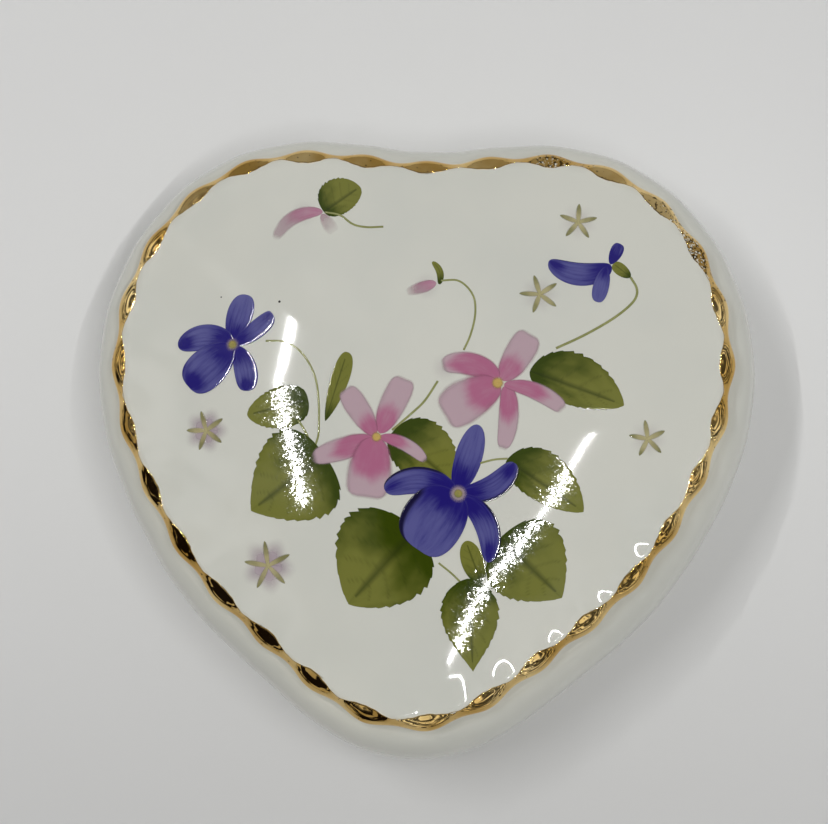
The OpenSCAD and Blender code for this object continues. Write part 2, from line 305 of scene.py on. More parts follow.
def belly_high(t):
    """How far the belly stands out above its widest line (0), up to the rim (1)."""
    return BELLY_SKIN - (BELLY_SKIN - RIM_REACH) * (1 - math.cos(t * math.pi / 2))


def make_base():
    """The base in one closed skin, and the numbers of its unglazed points."""
    angle = stations(SCALLOPS * 12)
    flute = FLUTE * scallop(angle)
    rise = SEAT_Z - BELLY_Z
    rows = [flat_ring(angle, rho, FLOOR_Z) for rho in (0.1, 0.3, 0.5, 0.65)]
    rows += [ring(angle, d, FLOOR_Z + h) for d, h in smooth_rows(HOLLOW, 5)]
    rows += [ring(angle, belly_high(1 - t) - BASE_WALL, SEAT_Z - 0.5 - (rise - 0.5) * t)
             for t in np.linspace(0.94, 0.15, 10)]
    rows += [ring(angle, d, z) for d, z in (
        (OPENING, SEAT_Z - 0.5), (OPENING + 0.08, SEAT_Z - 0.15), (OPENING + 0.3, SEAT_Z),
        (0.0, SEAT_Z), (0.25, SEAT_Z - 0.03))]
    rows += [ring(angle, belly_high(t) + flute * t,
                  BELLY_Z + (rise - 0.6) * math.sin(t * math.pi / 2))
             for t in np.linspace(0.97, 0.0, 22)]
    rows += [ring(angle, belly_low(t),
                  FOOT_Z + (BELLY_Z - FOOT_Z) * (1 - math.cos(t * math.pi / 2)))
             for t in np.linspace(0.95, 0.0, 18)]
    foot_row = len(rows)
    rows += [ring(angle, d, z) for d, z in FOOT]
    rows += [flat_ring(angle, rho, FOOT_Z) for rho in (0.65, 0.4, 0.1)]
    base = capped_skin("base_porcelain", (0, 0, FLOOR_Z), rows, (0, 0, FOOT_Z))
    unglazed = range((foot_row + UNGLAZED_FROM) * len(angle), (foot_row + UNGLAZED_TO) * len(angle))
    return base, unglazed


def make_gilt():
    """Fired gold over the lid's edge, with the slightly uneven inner line of a hand-laid band."""
    angle = stations(SCALLOPS * 24)
    ways = smooth_rows([(0, 1), (0.2, 1), (0.8, 0.6), (1, 0), (1, 0)], 6)
    edge = smooth_rows(EDGE[:5], 6)
    fine = np.interp(angle, TURN, RUN) * 2 * math.pi
    wander = (0.05 * np.sin(37 * fine + 1) + 0.04 * np.sin(71 * fine)
              + 0.025 * np.sin(163 * fine + 2))
    out = []
    for i, (row, way) in enumerate(zip(edge, ways)):
        shift = wander * max(0.0, 1 - i / 5)
        points = edge_ring(angle, row, GILT, way)
        points[:, :2] += shift[:, None] * outward(angle)
        out.append(points)
    start, end = out[0].copy(), out[-1].copy()
    start[:, 2] -= 0.12
    end[:, :2] -= 0.12 * outward(angle)
    rows = np.array([start] + out + [end])
    return new_object("gilt_band", rows.reshape(-1, 3), ring_faces(len(rows), len(angle)))


# ---------------------------------------------------------------- node helpers
class Nodes:
    """A material's node tree, with short calls for the nodes that the looks use."""

    def __init__(self, name):
        self.material = bpy.data.materials.new(name)
        self.material.use_nodes = True
        self.tree = self.material.node_tree
        self.shader = self.tree.nodes["Principled BSDF"]

    def add(self, kind, settings=None, **inputs):
        """A node with its settings and inputs; i0, i1 and so on are inputs by their place."""
        node = self.tree.nodes.new(kind)
        for key, value in (settings or {}).items():
            setattr(node, key, value)
        for key, value in inputs.items():
            self.put(node, key, value)
        return node

    def put(self, node, key, value):
        """Links or sets an input, found by its name or, as i0, by its place."""
        by_place = key[0] == "i" and key[1:].isdigit()
        socket = node.inputs[int(key[1:]) if by_place else key]
        if isinstance(value, bpy.types.NodeSocket):
            self.tree.links.new(value, socket)
        else:
            socket.default_value = value

    def where(self):
        return self.add("ShaderNodeTexCoord").outputs["Object"]

    def uv(self):
        return self.add("ShaderNodeUVMap", {"uv_map": "blade"}).outputs["UV"]

    def value(self, name):
        return self.add("ShaderNodeAttribute", {"attribute_name": name}).outputs["Fac"]

    def math(self, operation, a, b):
        return self.add("ShaderNodeMath", {"operation": operation}, i0=a, i1=b).outputs[0]

    def vector_math(self, operation, **inputs):
        return self.add("ShaderNodeVectorMath", {"operation": operation}, **inputs)

    def band(self, value, low, high):
        """0 at low and below to 1 at high and above, smoothly."""
        node = self.add("ShaderNodeMapRange", {"interpolation_type": "SMOOTHSTEP"}, Value=value)
        node.inputs["From Min"].default_value = low
        node.inputs["From Max"].default_value = high
        return node.outputs[0]

    def noise(self, scale, detail=2.0, vector=None, rough=0.5):
        node = self.add("ShaderNodeTexNoise", Vector=vector or self.where())
        node.inputs["Scale"].default_value = scale
        node.inputs["Detail"].default_value = detail
        node.inputs["Roughness"].default_value = rough
        return node.outputs["Fac"]

    def stretched(self, vector, scale):
        return self.vector_math("MULTIPLY", i0=vector, i1=scale).outputs[0]

    def mix(self, factor, a, b):
        node = self.add("ShaderNodeMix", {"data_type": "RGBA"})
        self.put(node, "i0", factor)
        self.put(node, "i6", a)
        self.put(node, "i7", b)
        return node.outputs[2]

    def bump(self, height, strength, distance):
        node = self.add("ShaderNodeBump", Height=height, Strength=strength, Distance=distance)
        return node.outputs["Normal"]

    def finish(self, **inputs):
        """Fills the shader's inputs, with _ for each space in their names."""
        for key, value in inputs.items():
            self.put(self.shader, key.replace("_", " "), value)
        return self.material


def srgb(r, g, b):
    """A display colour from 0 to 255 as a linear colour with alpha."""
    def linear(c):
        c /= 255
        return c / 12.92 if c <= 0.04045 else ((c + 0.055) / 1.055) ** 2.4
    return (linear(r), linear(g), linear(b), 1.0)


# ---------------------------------------------------------------- materials
PORCELAIN = srgb(222, 222, 212)
GLAZE_IOR = 1.52
FACET_SCALES = (2600, 6500)
FACET_TILT = 0.013


def glaze():
    """Bone china under a clear glaze: warm white, with faint pooling and a slightly wavy gloss."""
    n = Nodes("porcelain_glaze")
    pooling = n.band(n.noise(60, 3), 0.35, 0.7)
    colour = n.mix(pooling, PORCELAIN, srgb(217, 218, 209))
    wavy = n.bump(n.noise(90, 1), 0.1, 0.00006)
    return n.finish(Base_Color=colour, Roughness=0.035, Normal=wavy, IOR=GLAZE_IOR)


def bisque():
    """The unglazed foot ring: dry, fine-grained and rubbed a little grey."""
    n = Nodes("unglazed_foot")
    rubbed = n.band(n.noise(500, 4), 0.4, 0.75)
    colour = n.mix(rubbed, srgb(228, 224, 213), srgb(196, 190, 178))
    return n.finish(Base_Color=colour, Roughness=0.85,
                    Normal=n.bump(n.noise(4000, 3), 0.4, 0.0001))


def gold():
    """Fired gilding: bright, a little uneven, and rubbed through to the glaze in places."""
    n = Nodes("fired_gold")
    where, wear = n.where(), n.value("wear")
    tone = n.band(n.noise(150, 3, where), 0.35, 0.7)
    colour = n.mix(tone, srgb(208, 166, 86), srgb(246, 216, 150))
    rubbed = n.math("ADD", n.noise(2600, 4, where, 0.65), n.math("MULTIPLY", wear, 0.2))
    worn = n.band(rubbed, 0.72, 0.78)
    dulled = n.math("ADD", n.noise(2100, 3, where), n.math("MULTIPLY", wear, 0.16))
    colour = n.mix(n.band(dulled, 0.66, 0.72), colour, srgb(96, 74, 34))
    uneven = n.math("MULTIPLY", n.noise(1400, 2, where), 0.05)
    return n.finish(Base_Color=n.mix(worn, colour, PORCELAIN),
                    Metallic=n.math("SUBTRACT", 1.0, worn),
                    Roughness=n.math("ADD", 0.02, uneven),
                    Normal=n.bump(n.noise(260, 2, where), 0.3, 0.00006))


def enamel_grain(n, strength):
    """The finely pebbled surface of fired enamel: small facets, which break a highlight up."""
    tilt = (0.0, 0.0, 0.0)
    for scale in FACET_SCALES:
        cells = n.add("ShaderNodeTexVoronoi", Vector=n.where(), Scale=scale).outputs["Color"]
        centred = n.vector_math("SUBTRACT", i0=cells, i1=(0.5, 0.5, 0.5)).outputs[0]
        tilt = n.vector_math("ADD", i0=centred, i1=tilt).outputs[0]
    steep = n.vector_math("LENGTH", i0=tilt).outputs["Value"]
    steep = n.math("MULTIPLY", steep, FACET_TILT * strength)
    tilt = n.vector_math("SCALE", i0=tilt, Scale=steep).outputs[0]
    normal = n.add("ShaderNodeNewGeometry").outputs["Normal"]
    facet = n.vector_math("ADD", i0=normal, i1=tilt).outputs[0]
    return n.vector_math("NORMALIZE", i0=facet).outputs[0]


def shift(n, value, noise, amount):
    """A value pushed up and down by a noise."""
    return n.math("ADD", value, n.math("MULTIPLY", n.math("SUBTRACT", noise, 0.5), amount))


def blue_enamel():
    """Violet blue: pale to deep along the brush strokes, with dark lines."""
    n = Nodes("violet_blue_enamel")
    strokes = n.noise(1, 3, n.stretched(n.uv(), (1.6, 7, 1)), 0.6)
    deep = shift(n, shift(n, n.value("deep"), strokes, 1.3), n.noise(260, 3), 0.6)
    colour = n.mix(n.band(deep, 0.1, 1.0), srgb(94, 94, 154), srgb(36, 28, 118))
    colour = n.mix(n.band(n.value("line"), 0.45, 0.9), colour, srgb(24, 20, 56))
    return n.finish(Base_Color=colour, Roughness=0.05, Normal=enamel_grain(n, 0.7))


def pink_enamel():
    """Rose pink, deep at the roots and thinning to nothing at the edges."""
    n = Nodes("rose_pink_enamel")
    strokes = n.noise(1, 3, n.stretched(n.uv(), (1.6, 4, 1)), 0.6)
    deep = shift(n, shift(n, n.value("deep"), strokes, 0.7), n.noise(300, 3), 0.6)
    colour = n.mix(n.band(deep, 0.15, 1.0), srgb(192, 166, 175), srgb(180, 106, 139))
    rim = n.math("MULTIPLY", n.value("line"), 0.15)
    colour = n.mix(rim, colour, srgb(160, 100, 132))
    blotch = n.band(shift(n, n.value("cover"), n.noise(420, 3), 0.35), 0.12, 0.9)
    return n.finish(Base_Color=colour, Roughness=0.045, Alpha=blotch, Normal=enamel_grain(n, 0.3))


def leaf_enamel():
    """Leaf green, dark at the roots, with darker veins."""
    n = Nodes("leaf_green_enamel")
    strokes = n.noise(1, 2, n.stretched(n.uv(), (2.4, 3, 1)), 0.6)
    deep = shift(n, n.value("deep"), strokes, 0.9)
    deep = shift(n, deep, n.noise(160, 3), 0.7)
    colour = n.mix(n.band(deep, 0.05, 0.8), srgb(122, 124, 54), srgb(56, 70, 6))
    colour = n.mix(n.math("MULTIPLY", n.value("line"), 0.65), colour, srgb(44, 54, 14))
    return n.finish(Base_Color=colour, Roughness=0.05, Normal=enamel_grain(n, 1.2))


def wash_enamel(name, thin, thick, grain=0.2):
    """A thin wash of one colour whose cover is set by the piece."""
    n = Nodes(name)
    deep = shift(n, n.value("deep"), n.noise(700, 3), 1.0)
    return n.finish(Base_Color=n.mix(n.band(deep, 0, 1), thin, thick), Roughness=0.05,
                    Alpha=n.value("cover"), Normal=enamel_grain(n, grain))


# ---------------------------------------------------------------- enamel pieces
def serrate(u, side):
    """Uneven teeth along one edge of a leaf, from -1 to 1."""
    saw = 2 * ((u * 11 + 0.5 * side + 0.25 * np.sin(7 * u + 3 * side)) % 1) - 1
    return saw * (0.65 + 0.35 * np.sin(19 * u + 2 * side))


def blade_grid(base, tip, wide, widest, point, bow=0.0, teeth=0.0, along=28, across=13):
    """Plan points of a petal or leaf, and how far along (0 to 1) and across (-1 to 1) each is.

    wide holds its greatest half-widths to the left and right and widest says how far along they
    lie; point sharpens its ends, bow bends it to its left and teeth serrate its edges.
    """
    base, tip = np.array(base, float), np.array(tip, float)
    axis = tip - base
    left = np.array([-axis[1], axis[0]]) / np.linalg.norm(axis)
    bend = (base + tip) / 2 + 2 * bow * left
    u = (1 - np.cos(np.linspace(0, math.pi, along))) / 2
    spine = (((1 - u) ** 2)[:, None] * base + (2 * u * (1 - u))[:, None] * bend
             + (u ** 2)[:, None] * tip)
    run = np.gradient(spine, axis=0)
    run /= np.linalg.norm(run, axis=1)[:, None]
    side = np.column_stack([-run[:, 1], run[:, 0]])
    t = np.clip(u, 0.002, 0.998)
    half = (t / widest) ** (point * widest) * ((1 - t) / (1 - widest)) ** (point * (1 - widest))
    v = np.sin(np.linspace(-math.pi / 2, math.pi / 2, across))
    reach = np.where(v > 0, wide[0], wide[1]) * v
    ragged = 1 + teeth * np.where(v > 0, serrate(u, 0)[:, None], serrate(u, 1)[:, None]) * v ** 2
    points = spine[:, None, :] + (half[:, None] * reach * ragged)[..., None] * side[:, None, :]
    shape = points.shape[:2]
    return points, np.broadcast_to(u[:, None], shape), np.broadcast_to(v, shape)


class Enamel:
    """Collects blades into one draped, slightly raised sheet."""

    def __init__(self, thickness=0.035):
        self.points, self.faces, self.uvs = [], [], []
        self.values = {"deep": [], "line": [], "cover": []}
        self.thickness = thickness

    def drape(self, plan, u, v, deep, line, cover, layer):
        """Adds a grid of plan points, raised, with rounded shoulders and a skirt into the glaze."""
        rows, cols = plan.shape[:2]
        pad = lambda a: np.pad(a, [(1, 1), (1, 1)] + [(0, 0)] * (a.ndim - 2), mode="edge")
        plan, u, v = pad(plan), pad(u), pad(v)
        rise = self.thickness * (layer + 1 - 0.4 * np.abs(v) ** 24)
        rise[[0, -1]] = ENAMEL_SKIRT
        rise[:, [0, -1]] = ENAMEL_SKIRT
        z = lid_z(plan[..., 0], plan[..., 1]) + rise
        first = sum(len(p) for p in self.points)
        self.points.append(np.dstack([plan, z]).reshape(-1, 3))
        j, i = np.meshgrid(np.arange(rows + 1), np.arange(cols + 1), indexing="ij")
        a = first + j * (cols + 2) + i
        quads = np.stack([a, a + cols + 2, a + cols + 3, a + 1], -1).reshape(-1, 4)
        self.faces += quads.tolist()
        self.uvs.append(np.dstack([u, v / 2 + 0.5]).reshape(-1, 2))
        for key, value in (("deep", deep), ("line", line), ("cover", cover)):
            whole = np.broadcast_to(value, (rows, cols)).astype(float)
            self.values[key].append(pad(whole).reshape(-1))

    def build(self, name, material):
        """The sheet as one object."""
        obj = new_object(name, np.concatenate(self.points), self.faces)
        mesh = obj.data
        uv = np.concatenate(self.uvs)
        layer = mesh.uv_layers.new(name="blade")
        loops = np.empty(len(mesh.loops), int)
        mesh.loops.foreach_get("vertex_index", loops)
        layer.data.foreach_set("uv", uv[loops].reshape(-1))
        for key, parts in self.values.items():
            set_values(mesh, key, np.concatenate(parts))
        mesh.materials.append(material)
        return obj


def near(u, v, at, size, wide):
    """A soft spot on a blade's midline: 1 at the distance at, fading out over size along and
    wide across."""
    return np.exp(-((u - at) / size) ** 2 - (v / wide) ** 2)


def petal(sheet, base, tip, wide, widest, point, bow=0.0, layer=0, deep=0.25, spot=0.0, rim=0.0):
    """A petal: dark towards the flower's eye, a dark spot at the tip and one dark side if asked."""
    plan, u, v = blade_grid(base, tip, wide, widest, point, bow)
    shade = deep + 0.95 * near(u, v, 0.08, 0.34, 1.2) + spot * near(u, v, 0.9, 0.16, 0.9)
    shade = shade + 0.25 * np.abs(v) ** 8
    line = np.clip(abs(rim) * (np.sign(rim) * v - 0.62) / 0.3, 0, 1) * np.clip(3 * u, 0, 1)
    sheet.drape(plan, u, v, shade, line, 1.0, layer)


def pink_petal(sheet, base, tip, wide, widest, point, bow=0.0, layer=0, strong=0.9, reach=0.45,
               cover=0.95, fade=0.0):
    """A pale petal, deep pink from its root for reach of its length, soft at its edge and thinner
    towards its tip if faded."""
    plan, u, v = blade_grid(base, tip, wide, widest, point, bow)
    shade = strong * np.clip((reach * (1.15 - 0.5 * v * v) - u) / 0.3 + 0.5, 0, 1)
    edge = np.clip((1 - np.abs(v)) / 0.35, 0, 1) * np.clip((1 - u) / 0.12, 0, 1)
    sheet.drape(plan, u, v, shade, np.abs(v) ** 5, cover * edge * (1 - fade * u), layer)


def leaf(sheet, base, tip, wide, widest, point, bow=0.0, layer=0, tone=0.0, root=0.95,
         teeth=0.05):
    """A leaf with a dark root, a midrib and pairs of slanting veins."""
    plan, u, v = blade_grid(base, tip, wide, widest, point, bow, teeth, 96, 25)
    shade = tone + root * np.clip(1 - u / 0.7, 0, 1) ** 1.3 + 0.15 * np.abs(v) ** 6
    rib = np.exp(-(v / 0.03) ** 2) * (u < 0.9)
    slant = (u * 5 - np.abs(v) * 1.3) % 1
    veins = np.exp(-((slant - 0.5) / 0.05) ** 2) * (np.abs(v) < 0.75) * (u > 0.12) * (u < 0.85)
    sheet.drape(plan, u, v, shade, np.maximum(rib, 0.5 * veins), 1.0, layer)


def stem(sheet, points, width):
    """A stem along a smooth curve through its points."""
    spine = smooth_rows(points, 6)
    run = np.gradient(spine, axis=0)
    side = np.column_stack([-run[:, 1], run[:, 0]]) / np.linalg.norm(run, axis=1)[:, None]
    v = np.linspace(-1, 1, 5)
    plan = spine[:, None, :] + (width / 2 * v)[None, :, None] * side[:, None, :]
    u = np.broadcast_to(np.linspace(0, 1, len(spine))[:, None], plan.shape[:2])
    sheet.drape(plan, u, np.broadcast_to(v, plan.shape[:2]), 0.4, 0.0, 1.0, 0.0)


def disc(sheet, centre, r, layer=0.0, deep=0.5, soft=0.0, cover=1.0, lobes=0, turn=0.0):
    """A round dab of colour; soft fades its rim away, and lobes gives it a flower's outline."""
    a = np.linspace(0, 2 * math.pi, 49)
    k = np.linspace(0.02, 1, 10)
    edge = r * (1 + (0.12 * np.cos(lobes * (a - turn)) if lobes else 0 * a))
    plan = np.stack([centre[0] + k[:, None] * edge * np.cos(a),
                     centre[1] + k[:, None] * edge * np.sin(a)], -1)
    u = np.broadcast_to(k[:, None], plan.shape[:2])
    fade = np.clip((1 - u) / soft, 0, 1) ** 1.5 if soft else 1.0
    sheet.drape(plan, u, np.zeros(plan.shape[:2]), deep, 0.0, cover * fade, layer)


BLUE_LEFT_EYE, BLUE_MIDDLE_EYE = (-23.9, 11.3), (5.6, -7.2)
PINK_LEFT_EYE, PINK_RIGHT_EYE = (-4.8, -0.4), (10.1, 6.9)


def make_blue_left(material):
    """The blue flower at the left."""
    s = Enamel()
    petal(s, (-24, 11.5), (-22.4, 17.9), (1.85, 1.58), 0.6, 1, layer=0)
    petal(s, (-23.8, 11.5), (-19.1, 15.6), (0.66, 1.78), 0.6, 0.8, layer=1, spot=0.4)
    petal(s, (-23.7, 11.1), (-21.8, 5.3), (1.63, 1.37), 0.62, 0.9, 0.52, layer=1.5, spot=0.9)
    petal(s, (-23.9, 11.4), (-31, 10.9), (1.58, 1.85), 0.5, 0.9, -0.99, layer=2, spot=1.1)
    petal(s, (-23.9, 11.1), (-29.4, 5.8), (2.5, 2.82), 0.6, 0.85, layer=2.5, spot=0.9)
    return s.build("violet_left", material)


def make_blue_middle(material):
    """The large blue flower in the middle."""
    s = Enamel()
    petal(s, (5.4, -6.9), (7.8, 1.5), (1.62, 1.81), 0.5, 0.95, layer=0, rim=-0.4)
    petal(s, (5.8, -7), (12.4, -3.1), (1.37, 1.61), 0.55, 0.8, -1.24, layer=1, rim=-1, spot=0.7)
    petal(s, (5.3, -7.1), (-3.5, -7.1), (1.61, 1.74), 0.55, 0.85, -1.37, layer=1.5, rim=-1,
          spot=0.5)
    petal(s, (5.9, -7.6), (9.5, -15.5), (1.61, 1.36), 0.5, 0.85, 1.48, layer=2, rim=1, spot=0.8)
    petal(s, (5.4, -7.1), (0.9, -14.3), (3.34, 4.45), 0.55, 0.62, layer=2.5, rim=-1)
    return s.build("violet_middle", material)


def make_blue_bud(material):
    """The nodding blue bud at the upper right."""
    s = Enamel()
    petal(s, (24, 23.1), (25.2, 25.9), (0.79, 0.85), 0.65, 0.9, layer=0, deep=0.7)
    petal(s, (24.1, 22.9), (16.2, 23.2), (1.83, 1.24), 0.5, 0.9, 1.18, layer=1, rim=-0.6, spot=0.7)
    petal(s, (23.5, 22.7), (22.4, 18), (0.98, 1.04), 0.6, 0.9, layer=2, deep=0.15)
    return s.build("violet_bud", material)


def make_pink_left(material):
    """The pink flower left of the middle."""
    s = Enamel(0.02)
    pink_petal(s, (-4.4, 0.1), (-1.3, 7.4), (2.15, 1.9), 0.62, 0.75)
    pink_petal(s, (-5, -0.2), (-9.2, 5.9), (1.71, 1.78), 0.6, 0.8, layer=1, reach=0.35)
    pink_petal(s, (-4.9, -0.8), (-13.1, -3.4), (1.51, 1.89), 0.5, 0.85, layer=1.5, reach=0.6)
    pink_petal(s, (-4.4, -0.4), (1.6, -3.5), (1, 1), 0.5, 0.9, 0.69, layer=2, reach=0.5)
    pink_petal(s, (-5, -0.5), (-5.9, -8.4), (3.19, 3.26), 0.6, 0.65, layer=2.5, reach=0.6)
    return s.build("pink_flower_left", material)


def make_pink_right(material):
    """The pink flower right of the middle."""
    s = Enamel(0.02)
    pink_petal(s, (10.6, 7.3), (14.1, 13.8), (1.98, 2.36), 0.6, 0.7, layer=0, strong=0.8)
    pink_petal(s, (10.1, 7.5), (2.8, 8.8), (1.78, 1.78), 0.5, 0.7, -1.08, layer=1, reach=0.8)
    pink_petal(s, (11.2, 6.6), (10.8, -1.7), (1.57, 1.38), 0.45, 0.75, 0.5, layer=1.5, reach=0.5)
    pink_petal(s, (10.9, 6.7), (18.6, 3.6), (1.39, 1.26), 0.6, 0.75, 0.82, layer=2, reach=0.6)
    pink_petal(s, (10.3, 6.8), (3.4, 2.1), (2.71, 3.66), 0.6, 0.68, layer=2.5, reach=0.5)
    return s.build("pink_flower_right", material)


def make_pink_buds(material):
    """The two faded pink buds at the top."""
    s = Enamel(0.02)
    pink_petal(s, (1.9, 19.8), (-2.1, 18.3), (0.98, 0.98), 0.5, 1, strong=0.5, reach=0.8, fade=0.7)
    pink_petal(s, (-13.2, 29.2), (-19.3, 24.9), (1.21, 1.21), 0.5, 0.9, -1.48, strong=0.6,
               reach=0.6, fade=0.6)
    pink_petal(s, (-13.3, 28.9), (-11.3, 26.2), (1.14, 1.14), 0.6, 0.9, strong=0.4, cover=0.6,
               fade=0.6)
    return s.build("pink_buds", material)


def make_leaves(material):
    """All leaves of the spray."""
    s = Enamel(0.03)
    leaf(s, (-11.4, 1.5), (-9, 10.4), (1.02, 1.35), 0.66, 1.2, teeth=0, tone=-0.1)
    leaf(s, (-13.7, 4.2), (-21.5, 2.2), (2.83, 2.58), 0.38, 1)
    leaf(s, (-11.3, -2.8), (-20.5, -9.9), (6.22, 6.09), 0.31, 1.3, layer=0.5)
    leaf(s, (-2.8, 0.3), (4.8, -5.8), (4.37, 3), 0.42, 1, root=1.1)
    leaf(s, (14.1, 8.6), (26, 4.8), (4.32, 2.41), 0.42, 1.3, tone=0.1)
    leaf(s, (11.5, -2.8), (21.2, -8.8), (3.98, 2.24), 0.4, 1.3)
    leaf(s, (0.5, -11.8), (-7.7, -21.2), (5.7, 7.44), 0.38, 1.3, tone=0.15)
    leaf(s, (10.9, -12.5), (18.8, -19.5), (5.81, 5.07), 0.36, 1.4)
    leaf(s, (7.1, -17.6), (8, -29), (3.58, 3.58), 0.36, 1.8, layer=1)
    leaf(s, (8.7, -18), (6.7, -13), (1.48, 1.36), 0.5, 1, layer=2, teeth=0)
    leaf(s, (-13, 29.2), (-8.5, 32.8), (3.25, 1.83), 0.45, 0.95)
    return s.build("leaves", material)


def make_sepals(material):
    """The buds' small green sepals."""
    s = Enamel(0.03)
    leaf(s, (26.6, 21.5), (24.4, 23.2), (0.85, 0.78), 0.6, 0.9, teeth=0, tone=-0.1)
    leaf(s, (2.3, 19.6), (1.3, 22.6), (0.46, 0.46), 0.5, 0.8, -0.53, teeth=0)
    return s.build("sepals", material)


def make_stems(material):
    """All stems, each along its own points."""
    s = Enamel(0.04)
    stem(s, [(-19.6, 11.8), (-17.7, 11.8), (-16.4, 11.4), (-15.1, 10.5), (-14, 9.2), (-13.1, 7.5),
             (-12.6, 5.8), (-12.3, 3.5), (-12.2, 1.4), (-12.2, -0.3), (-12.6, -1.8)], 0.26)
    stem(s, [(-14.9, 1.6), (-14.1, 0.5), (-13.4, -0.9), (-13.1, -2.6)], 0.28)
    stem(s, [(2.5, 20.1), (4.5, 20.2), (5.8, 19.4), (6.7, 18.1), (7, 16.6), (6.9, 14.8),
             (6.4, 12.7), (5.7, 11)], 0.26)
    stem(s, [(2.6, 6.9), (1.1, 4.4), (-0.4, 2.8), (-2.9, 0.5)], 0.28)
    stem(s, [(26.6, 21.5), (27.4, 20.1), (27.3, 18.8), (26.2, 17.4), (24, 15.6), (20.7, 13.5),
             (17.3, 11.7)], 0.32)
    stem(s, [(-12.9, 29.2), (-10.9, 28.8), (-9.2, 27.6), (-7.4, 27.2), (-5.2, 27.3)], 0.28)
    stem(s, [(3.4, -15.8), (5, -17), (6.1, -18)], 0.25)
    stem(s, [(8.2, -3.3), (9.9, -2.8), (11.6, -2.6)], 0.25)
    return s.build("stems", material)


# Centre, reach of the petals and turn in degrees.
STARS = (((-26.8, 0.2), 2.6, 180), ((-18.1, -16.7), 3.1, 172), ((19.8, 28.6), 2.5, 160),
         ((15.1, 18.7), 2.6, 180), ((29.1, 0.7), 2.4, 100))


def make_stars(material):
    """Five star blossoms of five thin petals each."""
    s = Enamel(0.025)
    for centre, reach, turn in STARS:
        for i in range(5):
            aim = math.radians(turn + 72 * i)
            out = np.array([math.cos(aim), math.sin(aim)])
            plan, u, v = blade_grid(np.array(centre) - 0.3 * out, np.array(centre) + reach * out,
                                    (0.42, 0.42), 0.55, 1.3, 0, 0, 14, 7)
            cover = 0.75 * np.clip((1 - np.abs(v)) / 0.5, 0, 1)
            s.drape(plan, u, v, u * 0.9, 0.0, cover, 1 + 0.2 * i)
    return s.build("star_blossoms", material)


def make_halos(material):
    """The lilac bloom round the stars and behind three of the roots."""
    s = Enamel(0.012)
    for centre, reach, turn in STARS[:2]:
        disc(s, centre, reach * 1.1, soft=0.6, cover=0.6, lobes=5, turn=math.radians(turn + 36))
    for centre, reach, turn in STARS[2:]:
        disc(s, centre, reach, soft=1.0, cover=0.25, lobes=5, turn=math.radians(turn + 36))
    for eye in ((0.7, 19.3), (-15.6, 29), (3.5, 8.7)):
        disc(s, eye, 2.0, soft=1.0, cover=0.25)
    return s.build("lilac_halos", material)


def make_eyes(material):
    """The yellow eyes of the four open flowers."""
    s = Enamel(0.03)
    for eye, r, layer, deep in ((BLUE_LEFT_EYE, 0.7, 4, 0.6), (BLUE_MIDDLE_EYE, 0.72, 5, 0.6),
                                (PINK_LEFT_EYE, 0.75, 3, 0.1), (PINK_RIGHT_EYE, 0.9, 3, 0.1)):
        disc(s, eye, r, layer, deep=deep, soft=0.5)
    return s.build("flower_eyes", material)


def make_specks(material):
    """Two kiln specks in the glaze."""
    s = Enamel(0.01)
    for centre, r in (((-18.1, 17), 0.16), ((-25.8, 17.6), 0.1)):
        disc(s, centre, r)
    return s.build("kiln_specks", material)


def make_eye_ring(material):
    """The pale ring round the eyes of the blue flowers."""
    s = Enamel(0.03)
    disc(s, BLUE_MIDDLE_EYE, 1.2, 4, deep=0.2, soft=0.5, cover=0.8)
    disc(s, BLUE_LEFT_EYE, 1.0, 3.5, deep=0.2, soft=0.6, cover=0.6)
    return s.build("eye_ring", material)


# ---------------------------------------------------------------- the box
# Where the gilding is worn: x, y and radius.
WORN_SPOTS = ((30.0, 27.0, 5.0), (17.0, 35.5, 4.0), (33.5, 23.0, 4.0))


def place(obj, body, slot, *nodes):
    """Parents a piece to the body it moves with and hides the CAD parts it stands for; slot is not
    used.
    """
    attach(obj, body)
    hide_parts(*nodes)


def build_box():
    """The lid, the base with its unglazed foot, and the gilding."""
    china = glaze()
    lid = make_lid()
    lid.data.materials.append(china)
    place(lid, "lid", "glazed_porcelain_lid", "box_lid")

    base, unglazed = make_base()
    base.data.materials.append(china)
    base.data.materials.append(bisque())
    for face in base.data.polygons:
        if face.vertices[0] in unglazed:
            face.material_index = 1
    place(base, "base", "glazed_porcelain_base", "box_base")

    gilt = make_gilt()
    gilt.data.materials.append(gold())
    at = np.array([v.co for v in gilt.data.vertices]) / MM
    wear = sum(np.exp(-((at[:, 0] - x) ** 2 + (at[:, 1] + CENTRE_Y - y) ** 2) / r ** 2)
               for x, y, r in WORN_SPOTS)
    set_values(gilt.data, "wear", np.clip(wear, 0, 1))
    place(gilt, "lid", "fired_gold", "gilt_rim")


